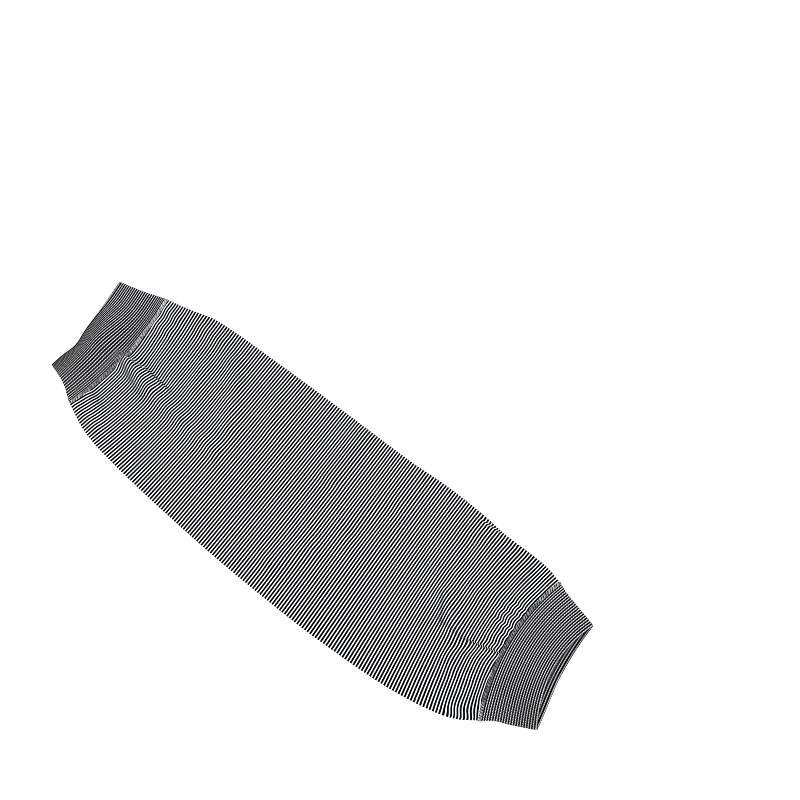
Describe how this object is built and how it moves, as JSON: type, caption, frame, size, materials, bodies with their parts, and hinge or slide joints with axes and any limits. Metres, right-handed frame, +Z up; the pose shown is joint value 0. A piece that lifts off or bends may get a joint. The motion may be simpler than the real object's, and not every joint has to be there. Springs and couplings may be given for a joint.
{
  "type": "cooling arm sleeve",
  "caption": "Knitted arm sleeve lying flat: a striped tube that narrows to the wrist, open at its ends, with ribbed cuffs, pulled over the forearm for work.",
  "frame": {"origin": "centre of the sleeve's outline seen from above, on the surface that it lies on", "axes": "+X along the sleeve from the wrist towards the upper arm, +Z up out of the surface that it lies on"},
  "size_m": [0.4, 0.132, 0.0149],
  "materials": {
    "knit_body": "fine jersey knit in narrow black and white stripes across the sleeve",
    "rib_cuff": "close rib knit in narrow black and white stripes, darker than the body"
  },
  "bodies": {
    "root": {"sleeve_body": "knit_body", "wrist_cuff": "rib_cuff", "upper_cuff": "rib_cuff"}
  },
  "joints": []
}
